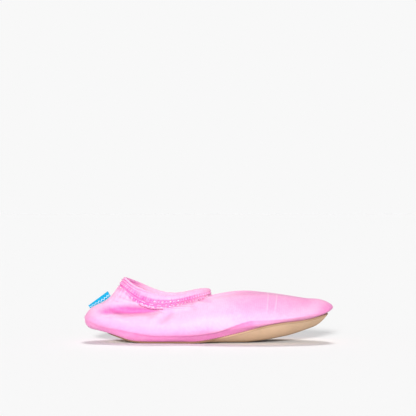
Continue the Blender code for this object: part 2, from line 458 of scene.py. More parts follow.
def bump(tree, shader, *layers):  # one Bump node for each (height, distance), chained
    before = None
    for height, distance in layers:
        node = shapeNode(tree, "ShaderNodeBump", Distance=distance)
        tree.links.new(height, node.inputs["Height"])
        if before is not None:
            tree.links.new(before, node.inputs["Normal"])
        before = node.outputs[0]
    tree.links.new(before, shader.inputs["Normal"])


# satin

satin = {
    "pink": (0.80, 0.405, 0.593),
    "deepPink": (0.70, 0.225, 0.47),
    "palest": -1.0,  # tint below which the cloth grows no paler
    "roughness": 0.52,
    "shine": {"Specular IOR Level": 0.35, "Sheen Weight": 0.06, "Sheen Roughness": 0.4},
    "threads": (0.0007, 0.00006),  # pitch and depth
    "ripples": (260.0, 0.00012),  # fineness and depth
    "grid": (0.0024, 0.22),  # the faint squares that show in the cloth: pitch and tint
    "patches": (110.0, 4.0, 0.50),  # fineness, detail and tint
    "specks": (430.0, 2.0, 0.55),
    "vampLines": ((0.0494, 0.16), (0.0552, 0.22)),  # x at the floor, in the frame, and lean of each line
    "vampLine": (0.0011, 0.55, 0.0002),  # half-width, how much paler, and height
}


def satinMaterial(name, withVampLines):
    # pink to deep pink by the tint "deep", which carries painted shade in folds, grooves and hollows and
    # where the cloth turns under, and a painted highlight over the seam; with patches, specks and squares;
    # the vamp's lines are paler
    material, tree, shader = newMaterial(name, satin["roughness"], **satin["shine"])
    cloth, place = clothPlace(tree), objectPlace(tree)
    (*patches, patchTint), (*specks, speckTint) = satin["patches"], satin["specks"]
    patches = swing(tree, noise(tree, place, *patches), patchTint)
    specks = swing(tree, noise(tree, place, *specks), speckTint)
    pitch, gridTint = satin["grid"]
    grid = swing(tree, weave(tree, cloth, pitch), gridTint)
    tint = plus(tree, plus(tree, plus(tree, patches, specks), grid), valueOf(tree, "deep"))
    (pitch, depth), (fineness, rippleDepth) = satin["threads"], satin["ripples"]
    heights = [(weave(tree, cloth, pitch), depth), (noise(tree, place, fineness), rippleDepth)]
    if withVampLines:
        axes = axesOf(tree, place)
        width, paler, height = satin["vampLine"]
        for at, lean in satin["vampLines"]:
            off = minus(tree, minus(tree, axes[0], at), times(tree, axes[2], lean))
            share = mathNode(tree, "DIVIDE", mathNode(tree, "ABSOLUTE", off), width)
            line = minus(tree, 1.0, mathNode(tree, "MINIMUM", share, 1.0))
            line = times(tree, line, valueOf(tree, "lineShare"))
            tint = minus(tree, tint, times(tree, line, paler))
            heights.append((line, height))
    tint = mathNode(tree, "MAXIMUM", tint, satin["palest"])
    colour = mixNode(tree, tint, satin["pink"], satin["deepPink"])
    colour.node.clamp_factor = False
    paint(tree, shader, colour)
    bump(tree, shader, *heights)
    return material


# upper: the satin skin and its folds

upperForm = {
    "around": 480,
    "rowsBetween": (12, 14, 24, 24, 24, 18),
    "marginRows": 5,
    "innerRows": 26,
    "skin": 0.0006,
    "tuckedIn": 0.0016,  # how far the skin goes on up inside the casing
    # where the cloth turns under, as (x from the heel, height)
    "turnedEdge": (
        (0.000, 0.0235), (0.016, 0.0172), (0.039, 0.0130), (0.064, 0.0088), (0.085, 0.0086), (0.111, 0.0098),
        (0.129, 0.0130), (0.147, 0.0195), (0.1585, 0.0228), (0.167, 0.0233), (0.180, 0.0238), (0.205, 0.0262),
        (0.240, 0.0330),
    ),
    "turnedRise": 0.0009,
    "turnedWidths": (0.0045, 0.0013),  # half-widths of its roll, above and below the edge
    "turnedWithin": ((2.9, 0.8), (0.232, 0.02)),  # level and x where the roll ends, each with its fading
    "turnedFrom": (0.0006, 0.0016),  # height over the edge where its painted shade starts, and over what height
    "turnedHeel": (0.075, 0.035, 0.35),  # x up to which that painted shade is lighter, over what length, and how much
    "turnedEnd": (0.166, 0.007, 0.50),  # x where the painted shade's dark part ends, over what length, how dark it goes on
    # painted shade: the cloth is painted deeper towards the turned edge: from how far above, and how much;
    # then x where that fades out, over what length, and x where it comes back at the toe, over what length
    "gradedAbove": (0.0120, 0.70),
    "gradedFade": (0.118, 0.014, 0.220, 0.012),
    "paleAbove": (0.0030, 0.0034, 0.15),  # painted highlight, a pale line over the seam: height, half-width, how pale
    "paleFrom": (0.15, 0.02),  # x where it starts, and over what length
    "vampTint": (0.118, 0.050, 0.30, 0.40),  # painted shade: x where the vamp is painted darker, over what length, low down and more on top where it faces up
    "vampTop": (2.3, 1.5),  # level from which that is the top, over how many levels
    "vampLinesFrom": (2.5, 0.7),
    "underCasingShade": (5.72, 0.2, 0.7),  # painted shade under the casing: level from which the cloth is dark, over how many levels, how dark
    "underThroat": (0.098, 0.01, 0.6),  # x from which it is less dark there, over what length, how much less
    "troughTint": (0.0012, 0.35),  # painted shade in the troughs of folds: depth of fold that takes it in full, and how dark
    "marginTint": 0.9,
    # the hollow under the casing: x, height of its deepest line, depth, and how far it opens above that line
    "hollow": (
        (0.010, 0.0296, 0.0000, 0.0075), (0.022, 0.0288, 0.0032, 0.0095), (0.036, 0.0286, 0.0049, 0.0105),
        (0.050, 0.0291, 0.0048, 0.0090), (0.062, 0.0303, 0.0036, 0.0065), (0.074, 0.0325, 0.0018, 0.0040),
        (0.086, 0.0350, 0.0000, 0.0030),
    ),
    "hollowBelow": 0.0052,
    "hollowWithin": ((0.003, 0.008), (5.95, 0.5)),  # distance from the middle plane, and level where it ends
    "hollowTint": (0.0034, 0.0030, 1.45),  # painted shade in the hollow: reach below the deepest line, depth that takes it in full, gain
    "toeDent": (0.217, 0.011, 0.0012, 2.6),  # x, half-width, depth, and level where it starts
    "heelSeam": (0.0010, 0.0006),  # half-width and depth of the seam up the back
    "heelSeamWithin": ((0.05, 0.01), (1.6, 0.4)),  # x where it ends and level where it starts
    "creasesFrom": (0.004, 0.008),  # distance from the middle plane where creases start, and over what width
    "creaseEnds": 3.2,  # how fast a crease fades in from its ends
    # creases, one by one: (path of (x, height), half-width above, half-width below, depth; ridges are
    # positive)
    "creases": (
        (((0.020, 0.0255), (0.045, 0.0245), (0.066, 0.0262)), 0.0030, 0.0060, 0.0016),
        (((0.088, 0.0350), (0.081, 0.0280), (0.070, 0.0195)), 0.0036, 0.0036, -0.0013),
        (((0.078, 0.0310), (0.071, 0.0250), (0.060, 0.0205)), 0.0034, 0.0034, 0.0012),
        (((0.101, 0.0385), (0.106, 0.0350), (0.110, 0.0325)), 0.0022, 0.0022, -0.0010),
        (((0.026, 0.0500), (0.036, 0.0442), (0.047, 0.0405), (0.056, 0.0385)), 0.0014, 0.0014, -0.0007),
        (((0.024, 0.0470), (0.034, 0.0420), (0.045, 0.0388), (0.054, 0.0372)), 0.0014, 0.0014, 0.0007),
        (((0.023, 0.0440), (0.031, 0.0402), (0.040, 0.0378)), 0.0013, 0.0013, -0.0006),
        (((0.106, 0.0422), (0.113, 0.0413), (0.124, 0.0398)), 0.0015, 0.0015, -0.0013),
    ),
    "gathers": 46,
    "gatherDepth": 0.00045,
    "gatherSwell": (0.6, 0.4, 3, 7),  # mean depth, how much it comes and goes, and how often, slow and quick
    "gatherSway": (2.2, 2),  # how far the gathers crowd together, and how often
    "gathersFrom": (4.2, 1.6),  # level where they start, over how many levels
    "innerFollows": (-3, -1, 0, 1, 3),  # neighbours whose deepest fold the inner face follows
    "innerRounds": 6,
    "innerSpread": 5,
    "seed": 7,
}


def upperLevels():  # level of each row, from the sole's edge to the neck
    levels = [np.zeros(1)]
    for i, count in enumerate(upperForm["rowsBetween"]):
        levels.append(i + np.arange(1, count + 1) / count)
    return np.concatenate(levels)


def upperSkin(angles, levels):  # the smooth upper, a spline up each meridian from the sole's edge to the neck
    names = ("under", "belly", "side", "shoulder", "crest", "neck")
    edge = solePoint(angles, 1.0, shoe["soleThickness"] + shoe["seamGap"])
    return splineUp(np.array([edge, *[girthLine(name, angles) for name in names]]), levels)


def creaseDepth(points, path, above, below, depth):
    # depth * bell of the distance from the path, with a half-width above and one below, fading at its ends
    distance, along = pathDistance(points[..., 0], points[..., 2], path)
    line = np.array(path)
    over = points[..., 2] > np.interp(points[..., 0], *line[np.argsort(line[:, 0])].T)
    fade = ease(np.minimum(along, 1 - along) * upperForm["creaseEnds"])
    return depth * hump(distance, np.where(over, above, below)) * fade


def hollowDepth(skin, levels):
    # how far each point is pressed in on each side: eased from the opening down to the deepest line, and out
    # again below it more steeply; also the share of painted shade that the hollow takes
    x, y, z = skin[..., 0], skin[..., 1], skin[..., 2]
    knots, heights, depths, openings = np.array(upperForm["hollow"]).T
    over = z - curveThrough(x, knots, heights)
    above = ease(1 - over / curveThrough(x, knots, openings))
    below = ease(1 + over / upperForm["hollowBelow"])
    depth = curveThrough(x, knots, depths) * np.where(over > 0, above, below)
    inY, inLevel = upperForm["hollowWithin"]
    depth = depth * rising(np.abs(y), *inY) * falling(levels, *inLevel)[:, None]
    # painted shade in the hollow
    onBelow, full, gain = upperForm["hollowTint"]
    return depth, gain * np.clip(depth / full, 0, 1) * ease(1 + over / onBelow)


def pressedIn(skin, depth, spread=0):  # moved straight inwards by the greatest depth within that many rows
    reach = np.pad(depth, ((spread, spread), (0, 0)), mode="edge")
    deepest = np.maximum.reduce([reach[i:i + len(depth)] for i in range(2 * spread + 1)])
    return skin - np.stack([0 * deepest, np.sign(skin[..., 1]) * deepest, 0 * deepest], axis=-1)


def upperFolds(points, angles, levels):
    # how far each point stands off the smooth skin, from the turned edge, the toe's dent, the heel's seam,
    # the creases and the gathers; also its height over the turned edge
    x, y, z = points[..., 0], points[..., 1], points[..., 2]
    over = z - curveThrough(x, *np.array(upperForm["turnedEdge"]).T)
    inLevel, inX = upperForm["turnedWithin"]
    low = falling(levels, *inLevel)[:, None] * falling(x, *inX)
    folds = upperForm["turnedRise"] * low * hump(over, np.where(over > 0, *upperForm["turnedWidths"]))
    sideways = rising(np.abs(y), *upperForm["creasesFrom"])
    at, width, depth, level = upperForm["toeDent"]
    folds = folds - depth * hump(x - at, width) * ease(levels - level)[:, None]
    width, depth = upperForm["heelSeam"]
    inX, inLevel = upperForm["heelSeamWithin"]
    folds = folds - depth * hump(y, width) * falling(x, *inX) * rising(levels, *inLevel)[:, None]
    for path, above, below, depth in upperForm["creases"]:
        folds = folds + creaseDepth(points, path, above, below, depth) * sideways
    random = np.random.default_rng(upperForm["seed"])
    phase = random.uniform(0, 2 * math.pi, 4)
    mean, change, slow, quick = upperForm["gatherSwell"]
    swell = mean + change * np.sin(slow * angles + phase[0]) * np.sin(quick * angles + phase[1])
    sway, often = upperForm["gatherSway"]
    ripple = np.sin(upperForm["gathers"] * angles + sway * np.sin(often * angles + phase[2]) + phase[3])
    nearNeck = rising(levels, *upperForm["gathersFrom"])[:, None]
    folds = folds + upperForm["gatherDepth"] * ripple * swell * nearNeck
    return folds, over


def upperTint(x, levels, over, folds, hollow):
    # painted shade at the turned edge and deepening towards it, less a painted highlight as a pale line over
    # the seam, and painted shade on the vamp, in the hollow, in the troughs of folds and at the cloth's end
    # under the casing added on
    levels = levels[:, None]
    at, width, onwards = upperForm["turnedEnd"]
    # painted shade: the cloth is darker where it turns under
    turnedShade = falling(over, *upperForm["turnedFrom"]) * mix(onwards, 1, falling(x, at, width))
    at, width, paler = upperForm["turnedHeel"]
    turnedShade = turnedShade * (1 - paler * falling(x, at, width))
    # painted shade: the cloth grows darker towards the turned edge
    above, gain = upperForm["gradedAbove"]
    fadeAt, fadeWidth, backAt, backWidth = upperForm["gradedFade"]
    fore = rising(x, fadeAt, fadeWidth) * falling(x, backAt + backWidth, backWidth)
    gradedShade = gain * ease(1 - over / above) * (1 - turnedShade) * (1 - fore)
    # painted highlight: a pale line over the seam at the forefoot
    at, width, paler = upperForm["paleAbove"]
    pale = paler * hump(over - at, width) * fore * rising(x, *upperForm["paleFrom"])
    # painted shade: the vamp is darker, most on top where it faces up
    start, width, low, onTop = upperForm["vampTint"]
    vampShade = rising(x, start, width) * (low + onTop * rising(levels, *upperForm["vampTop"]))
    # painted shade: the cloth under the casing is dark
    (start, width, dark), (at, fading, less) = upperForm["underCasingShade"], upperForm["underThroat"]
    underCasingShade = dark * rising(levels, start, width) * (1 - less * rising(x, at, fading))
    # painted shade in the troughs of folds
    full, dark = upperForm["troughTint"]
    troughShade = np.clip(-folds / full, 0, 1)
    return turnedShade + gradedShade - pale + vampShade * (1 - turnedShade) + hollow + dark * troughShade + underCasingShade


def makeUpper(material):
    # rings from the turned-in margin up the outer face, into the casing, down the inner face and back
    angles, levels = anglesAround(upperForm["around"]), upperLevels()
    skin = upperSkin(angles, levels)
    depth, hollow = hollowDepth(skin, levels)
    smooth = pressedIn(skin, depth)
    folds, over = upperFolds(smooth, angles, levels)
    outer = smooth + surfaceNormals(smooth) * folds[..., None]
    shares = 1 - shareAtWaist(shoe["marginWidth"]) * np.linspace(1, 0, upperForm["marginRows"] + 1)[:-1]
    margin = solePoint(angles[None, :], shares[:, None], shoe["soleThickness"] + shoe["seamGap"])
    marginUp = soleFrame(angles[None, :], shares[:, None])[1]
    # the inner face follows the deepest fold nearby, so that no fold of the outer face pokes through it
    inward = np.minimum.reduce([np.roll(folds, shift, axis=1) for shift in upperForm["innerFollows"]])
    inward = smoothed(np.minimum(inward, 0), upperForm["innerRounds"])
    inner = surfaceNormals(skin) * (inward - upperForm["skin"])[..., None]
    inner = pressedIn(skin, depth, upperForm["innerSpread"]) + inner
    picks = pickedRows(1, len(levels) - 1, upperForm["innerRows"])
    tuck = unit(girthLine("rim", angles) - girthLine("neck", angles)) * upperForm["tuckedIn"]
    back = (margin + marginUp * upperForm["skin"])[::-1]
    rows = np.concatenate([margin, outer, [outer[-1] + tuck, inner[-1] + tuck], inner[picks], back])
    climb = climbUp(rows)
    travelled = runningSum(np.linalg.norm(np.diff(girthLine("belly", angles), axis=0), axis=1))
    uv = np.stack([np.broadcast_to(travelled, climb.shape), climb], axis=-1)
    deep, lineShare = np.zeros(climb.shape), np.zeros(climb.shape)
    outerRows = slice(len(margin), len(margin) + len(outer))
    deep[outerRows] = upperTint(smooth[..., 0], levels, over, folds, hollow)
    deep[:len(margin)] = upperForm["marginTint"]
    lineShare[outerRows] = rising(levels, *upperForm["vampLinesFrom"])[:, None]
    return makeSheet(
        "satin_upper", rows, uv, material, ("upper",), {"deep": deep, "lineShare": lineShare}
    )


# lining inside the upper

liningForm = {
    "around": 320,
    "rows": 60,
    "hiddenRows": 12,
    "levels": (0.35, 5.8),
    "clear": 0.00075,
    "thickness": 0.0004,
    "spread": 3,
    "foldRounds": 8,
    "foldGain": 1.1,
    "roundLength": 0.09,  # cloth's width for a turn of one radian
}


def makeLining(material):
    # the upper's skin moved inwards: visible face clear + thickness inside it, hidden face at clear
    angles = anglesAround(liningForm["around"])
    levels = np.linspace(*liningForm["levels"], liningForm["rows"])
    skin = upperSkin(angles, levels)
    smooth = smoothed(pressedIn(skin, hollowDepth(skin, levels)[0], liningForm["spread"]), 1)
    normals = surfaceNormals(skin)
    folds = np.minimum(upperFolds(smooth, angles, levels)[0], 0)
    folds = smoothed(folds, liningForm["foldRounds"]) * liningForm["foldGain"]
    hidden = smooth + normals * (folds - liningForm["clear"])[..., None]
    shown = hidden - normals * liningForm["thickness"]
    rows = np.concatenate([shown, hidden[pickedRows(0, len(levels) - 1, liningForm["hiddenRows"])]])
    climb = climbUp(rows)
    uv = np.stack([np.broadcast_to(angles * liningForm["roundLength"], climb.shape), climb], axis=-1)
    return makeSheet("cotton_lining", rows, uv, material, (), {"deep": np.zeros(climb.shape)})


# casing: the gathered band round the opening, with its elastic, grooves and stitch rows

casing = {
    "around": 900,
    "sectionPoints": 80,
    "thickness": 0.0034,
    "lift": -0.0012,
    "ovalPowers": (0.6, 0.8),  # of the cosine for the side, and of the sine for the height
    "lean": 0.9,  # how far its normals lean up and down by the oval's ends
    "sideFade": 4,  # how soon the relief is full, from the oval's ends
    "grooves": ((0.54, 0.05, 0.00110), (0.28, 0.07, 0.00100)),  # share of the height, half-width, depth
    "heelGrooves": ((0.86, 0.035, 0.0015), (0.70, 0.035, 0.0016), (0.40, 0.03, 0.0012), (0.17, 0.03, 0.0010)),
    "heelPart": (0.062, 0.02),  # x where the heel's part ends, and over what length
    "heelSway": (0.05, 0.009),  # how far those grooves wander, as a share of the height, over what length
    "thinHeel": (0.018, 0.022, 0.55),  # x up to which it is thin, over what length it thickens, how thin
    "pressedIn": 0.0007,  # how far that thin part is pressed in
    "roll": 0.0006,
    "tuck": (0.0009, 0.5, 0.3),  # depth, share of the height where it ends, and over what share
    "facing": 0.3,  # side past which a face counts as the inner one, or in full as the outer one
    "lowTint": (0.90, 0.40, 0.66),  # painted shade: how dark the lower half is, how much less by the heel and at the throat
    "lowBelow": (0.68, 0.06),  # share of the height where that ends, and over what share
    "throatPart": (0.100, 0.012),  # x where the throat's part starts, and over what length
    "topTint": (0.28, 0.62, 0.06),  # painted shade: how dark the top is, share of the height where it starts, and fading
    "heelGrooveTint": (0.7, 1.2, 0.072),  # painted shade in the heel's grooves: how dark, how much wider than the groove, and x where it ends
    "insideTint": (1.0, 0.060, 0.014),  # painted shade: how dark the inner face is, x where that ends, over what length
    "troughTint": (0.0008, 0.5),  # painted shade in its troughs: depth that takes it in full, and how dark
    "holeShadeTints": (0.9, 0.3),  # needle holes and painted shade: how dark the cloth is between puckers, on the inner and the outer face
    "holeSpread": 0.05,
    "join": (0.0009, 0.0009, 0.6, 0.3),  # at the throat: half-width, depth, how dark, share where that starts
    "puckerPitch": 0.0024,
    "puckerDepth": 0.00026,
    "puckerSpread": 0.16,  # half-width of the puckered band by each stitch row, as a share of the height
    "puckeredAt": (0.103, 0.016, 0.9),  # x and half-width of the throat's stretch, how much more it puckers
    "waveDepth": 0.00036,
    "waves": (0.0011, 2.5, 0.013, 0.017),  # length, sway, length of the sway, and length of the swell
    "samples": 3600,
    "stitchSeed": 11,
    "stitchRows": (0.50, 0.13),
    "stitchesShow": ((0.060, 0.100), (0.046, 0.103)),  # x between which each row's thread lies on top
    "stitchesShowInside": ((0.030, 0.100), (0.030, 0.100)),
    "stitchFade": 0.012,  # length over which it comes up and goes down again
    "stitchSink": 0.0010,
    "stitchLift": 0.6,  # of its radius
    "stitchSlant": 0.12,
    "stitchTurn": 0.10,
    "stitchPitch": 0.0035,
    "stitchLength": 0.0024,
    "stitchRadius": 0.00035,
}


def casingSurface(angles, turns):
    # an upright oval carried round from neck to rim: side = cosine and height = sine, each to its own power
    neck, rim = girthLine("neck", angles), girthLine("rim", angles)
    height = np.linalg.norm(rim - neck, axis=1, keepdims=True)
    up = (rim - neck) / height
    out = unit(np.cross(alongRow(rim), up))
    base = neck + up * casing["lift"] - out * shoe["wall"] / 2
    sidePower, heightPower = casing["ovalPowers"]
    side = powerOf(np.cos(turns), sidePower)[:, None, None]
    share = ((1 + powerOf(np.sin(turns), heightPower)) / 2)[:, None, None]
    start, width, thin = casing["thinHeel"]
    full = rising(rim[:, :1], start, width)
    thickness = casing["thickness"] * mix(thin, 1, full)
    base = base - out * casing["pressedIn"] * (1 - full)
    points = base + up * (height - casing["lift"]) * share + out * side * thickness / 2
    away = unit(out * side + up * (share - 0.5) * casing["lean"])
    return points, away, share[..., 0], side[..., 0]


def heelGroove(share, x, at, width):  # how near each point is to one of the heel's wandering grooves
    sway, length = casing["heelSway"]
    return hump(share - at - sway * np.sin(x / length), width)


def casingRelief(angles, share, side, travelled):
    # rolls and grooves along the band, puckers across it near the stitch rows, slower waves and the join
    x = lengthwise(*girthLines["rim"][:2], angles)
    relief = casing["roll"] * np.sin(math.pi * np.clip((share - 0.5) / 0.5, 0, 1))
    depth, end, width = casing["tuck"]
    relief = relief - depth * falling(share, end, width)
    for at, width, depth in casing["grooves"]:
        relief = relief - depth * hump(share - at, width)
    for at, width, depth in casing["heelGrooves"]:
        relief = relief - depth * heelGroove(share, x, at, width) * falling(x, *casing["heelPart"])
    beat = 2 * math.pi * travelled / casing["puckerPitch"]
    nearRows = sum(hump(share - at, casing["puckerSpread"]) for at in casing["stitchRows"])
    at, width, gain = casing["puckeredAt"]
    relief = relief + casing["puckerDepth"] * (1 + gain * hump(x - at, width)) * np.cos(beat) * nearRows
    wave, sway, swayLength, swell = casing["waves"]
    slow = np.sin(travelled / wave + sway * np.sin(travelled / swayLength))
    slow = slow * (0.5 + 0.5 * np.sin(travelled / swell))
    relief = relief + casing["waveDepth"] * slow * (0.3 + 0.7 * np.sin(math.pi * np.clip(share, 0, 1)))
    width, depth = casing["join"][:2]
    relief = relief - depth * hump(travelledFromSeam(travelled), width) * np.clip(share * 3, 0, 1)
    return relief * ease(np.abs(side) * casing["sideFade"])


def travelledFromSeam(travelled):  # distance from the casing's own join, at the middle of the throat
    whole = casing["roundLength"]
    return np.minimum(travelled % whole, whole - travelled % whole)


def travelledAround(angles):  # distance round the rim, scaled so that a whole number of stitches goes round
    steps = stepsRound(girthLine("rim", angles))
    stitches = round(steps.sum() / casing["stitchPitch"])
    casing["roundLength"] = stitches * casing["stitchPitch"]
    return runningSum(steps)[:-1] * casing["roundLength"] / steps.sum()


def makeCasing(material):
    # the surface moved out by its relief; painted shade low down, on top, inside, in grooves and troughs and
    # between puckers, and darker at the join
    angles = anglesAround(casing["around"])
    turns = anglesAround(casing["sectionPoints"]) - math.pi / 2
    travelled = travelledAround(angles)
    points, away, share, side = casingSurface(angles, turns)
    relief = casingRelief(angles, share, side, travelled)
    points = points + away * relief[..., None]
    climb = climbUp(points)
    uv = np.stack([np.broadcast_to(travelled, climb.shape), climb], axis=-1)
    x = lengthwise(*girthLines["rim"][:2], angles)
    facing, heelPart = casing["facing"], casing["heelPart"]
    outer = rising(side, -facing, facing)
    # painted shade: the casing's lower half is darker
    low, lowHeel, lowThroat = casing["lowTint"]
    lowTint = low - lowHeel * falling(x, *heelPart) - lowThroat * rising(x, *casing["throatPart"])
    deep = lowTint * falling(share, *casing["lowBelow"]) * outer
    # painted shade: the casing's top is darker
    dark, start, width = casing["topTint"]
    deep = deep + dark * rising(share, start, width) * outer
    # painted shade: the inner face is darker by the heel
    dark, at, width = casing["insideTint"]
    deep = deep + dark * falling(x, at, width) * (side < -facing)
    # painted shade in the heel's grooves
    dark, wider, end = casing["heelGrooveTint"]
    for at, width, _ in casing["heelGrooves"]:
        line = heelGroove(share, x, at, width * wider) * falling(x, end, heelPart[1])
        deep = deep + dark * line * outer
    # needle holes and painted shade: darker between the puckers
    holeShade = (1 - np.cos(2 * math.pi * travelled / casing["puckerPitch"])) / 2
    nearRows = sum(hump(share - at, casing["holeSpread"]) for at in casing["stitchRows"])
    # painted shade in the troughs of the relief
    full, dark = casing["troughTint"]
    deep = deep + dark * np.clip(-relief / full, 0, 1)
    deep = deep + np.where(side < 0, *casing["holeShadeTints"]) * holeShade * nearRows
    width, _, dark, above = casing["join"]
    deep = deep + dark * hump(travelledFromSeam(travelled), width) * (share > above)
    return makeSheet(
        "elastic_casing", points, uv, material, ("collar_binding",),
        {"deep": deep, "lineShare": np.zeros(climb.shape)},
    )


def capsule(length, radius, sides=6, rings=5):
    # a thread's one stitch: rings of a half-sine radius along its length, sunk a little at both ends
    turn = anglesAround(sides)
    along = np.linspace(0, 1, rings)
    swell = np.sin(math.pi * (0.08 + 0.84 * along)) ** 0.5
    x = (along - 0.5)[:, None] * length + 0 * turn
    y = swell[:, None] * radius * np.cos(turn)
    z = swell[:, None] * radius * 0.8 * np.sin(turn) - radius * 1.2 * ((2 * along - 1) ** 4)[:, None]
    tube = np.stack([x, y, z], axis=-1).reshape(-1, 3)
    quads = gridQuads(rings, sides, joinedRows=False)
    first, final = np.arange(sides), (rings - 1) * sides + np.arange(sides)
    ends = [[*first[[0, 3, 2, 1]]], [*first[[0, 5, 4, 3]]], [*final[[0, 1, 2, 3]]], [*final[[0, 3, 4, 5]]]]
    return tube, np.concatenate([quads, np.array(ends)])


def makeStitches(name, places, along, away, length, radius, material, slants):
    # one capsule at each place, its length along the seam turned by its slant and its top away from the cloth
    tube, quads = capsule(length, radius)
    across = unit(np.cross(away, along))
    slants = np.asarray(slants)[:, None]
    along = unit(along * np.cos(slants) + across * np.sin(slants))
    across = unit(np.cross(away, along))
    frames = np.stack([along, across, unit(np.cross(along, across))], axis=1)
    points = places[:, None, :] + np.einsum("pk,nkc->npc", tube, frames)
    allQuads = (quads[None] + (np.arange(len(places)) * len(tube))[:, None, None]).reshape(-1, 4)
    return makePiece(name, centred(points.reshape(-1, 3)), allQuads, material)


def makeCasingStitches(material):
    # a capsule at the middle of each pitch along both rows, outside and inside; past the stretch where it
    # shows, the thread is sunk in the cloth
    angles = anglesAround(casing["samples"])
    travelled = travelledAround(angles)
    count = round(casing["roundLength"] / casing["stitchPitch"])
    picks = np.searchsorted(travelled, (np.arange(count) + 0.5) * casing["stitchPitch"]) % len(angles)
    random = np.random.default_rng(casing["stitchSeed"])
    fade = casing["stitchFade"]
    for face, stretches in (("outer", casing["stitchesShow"]), ("inner", casing["stitchesShowInside"])):
        for number, (at, (start, end)) in enumerate(zip(casing["stitchRows"], stretches), 1):
            turn = math.asin(powerOf(2 * at - 1, 1 / casing["ovalPowers"][1]))
            turn = turn if face == "outer" else math.pi - turn
            points, away, share, side = casingSurface(angles, np.array([turn]))
            relief = casingRelief(angles, share, side, travelled)
            x = points[0, :, 0]
            sunk = casing["stitchSink"] * (1 - rising(x, start, fade) * falling(x, end, fade))
            lift = relief[0] + casing["stitchRadius"] * casing["stitchLift"] - sunk
            row = points[0] + away[0] * lift[:, None]
            slants = casing["stitchSlant"] + random.normal(0, casing["stitchTurn"] / 2, count)
            makeStitches(
                f"casing_stitches_{face}_{number}", row[picks], alongRow(row)[picks], away[0][picks],
                casing["stitchLength"], casing["stitchRadius"], material, slants,
            )


# sole, insole and their seam

soleLook = {
    "around": 480,
    "rows": 54,
    "crowding": 0.8,  # the underside's rows stand closer towards the edge
    "topEvery": 4,  # of those rows, how many there are to one of the top face
    "edgeRows": 9,
    "tan": (0.67, 0.47, 0.31),
    "brown": (0.20, 0.115, 0.065),
    "edgeFrom": (0.965, 0.03),  # share of the way out where the brown cut edge starts, and over what share; brown partly its own and partly painted shade
    # x where the brown edge starts to fade and has faded, and how much; then where it comes back as the seam
    "seamTint": ((0.120, 0.140, 0.7), (0.156, 0.168, 0.25)),
    "floorTint": (0.0040, 0.45),  # painted shade: height under which the sole darkens, and how much
    "cupShadeTint": (0.62, 0.34, 0.95),  # painted shade: the cupped middle is browner: share of the way out, fading, how much
    "roughness": 0.78,
    "shine": {"Specular IOR Level": 0.2},
    "patches": (60.0, 0.35),  # fineness and amount
    "edgeTint": 0.9,
    "grain": (900.0, 4.0, 0.0003),  # fineness, detail and depth
    "nap": (3000.0, 0.00015),
    "seamSamples": 3600,
    "seamPitch": 0.0026,
    "seamLength": 0.0019,
    "seamRadius": 0.00032,
    "seamOut": 0.0003,  # how far the stitches stand out from the edge
    "seamSlant": 0.25,
    "insoleAround": 360,
    "insoleRows": 36,
    "insoleEdge": (0.05, 0.0005),  # the insole's edge is rounded down: over what share, and by how much
}


def makeSole(material):
    # underside, a half-round edge and the top face, as rings from the spine out and back
    angles = anglesAround(soleLook["around"])[None, :]
    across = (np.linspace(0, 1, soleLook["rows"]) ** soleLook["crowding"])[:, None]
    rim = np.ones((1, 1))
    thickness = shoe["soleThickness"]
    below = solePoint(angles, across, 0)
    above = solePoint(angles, across[::soleLook["topEvery"]], thickness)
    outward, upward = soleFrame(angles, rim)
    turns = np.linspace(-math.pi / 2, math.pi / 2, soleLook["edgeRows"] + 2)[1:-1, None, None]
    middle = solePoint(angles, rim, thickness / 2)
    edge = middle + (outward * np.cos(turns) * 0.5 + upward * np.sin(turns)) * thickness / 2
    rows = np.concatenate([below, edge, solePoint(angles, rim, thickness), above[::-1]])
    (fadeFrom, fadeTo, fading), (seamFrom, seamTo, seamShare) = soleLook["seamTint"]
    x = rows[..., 0]
    seam = 1 - fading * rising(x, fadeFrom, fadeTo - fadeFrom)
    seam = seam + seamShare * rising(x, seamFrom, seamTo - seamFrom)
    # the tint "edge": the cut edge is brown, partly its own colour and partly painted shade
    edgeShare = np.zeros(x.shape)
    edgeShare[:len(below)] = rising(across, *soleLook["edgeFrom"])
    edgeShare[len(below):len(below) + len(edge)] = 1
    # painted shade: the sole darkens near the floor
    height, share = soleLook["floorTint"]
    edgeShare = edgeShare * seam + share * ease(1 - rows[..., 2] / height)
    # painted shade: the cupped middle of the underside is browner
    at, width, share = soleLook["cupShadeTint"]
    cupShade = share * falling(across, at, width) * soleCup(x[:len(below)])
    edgeShare[:len(below)] += cupShade / soleForm["cupDepth"]
    return makeSheet(
        "tan_outsole", rows, rows[..., :2], material, ("outsole",), {"edge": edgeShare}
    )


def makeInsole(material):
    # two faces from the spine out to the upper's margin, the top one rounded down at its edge
    angles = anglesAround(soleLook["insoleAround"])[None, :]
    widest = 1 - shareAtWaist(shoe["marginWidth"] + shoe["seamGap"])
    across = np.linspace(0, widest, soleLook["insoleRows"])[:, None]
    low = shoe["soleThickness"] + shoe["seamGap"]
    width, depth = soleLook["insoleEdge"]
    soften = falling(across, widest, width) * depth - depth
    below = solePoint(angles, across, low)
    above = solePoint(angles, across, low + shoe["insoleThickness"])
    above = above + soleFrame(angles, across)[1] * soften[..., None]
    rows = np.concatenate([below, above[::-1]])
    return makeSheet(
        "cotton_insole", rows, rows[..., :2], material, ("insole",),
        {"deep": np.zeros(rows.shape[:2])},
    )


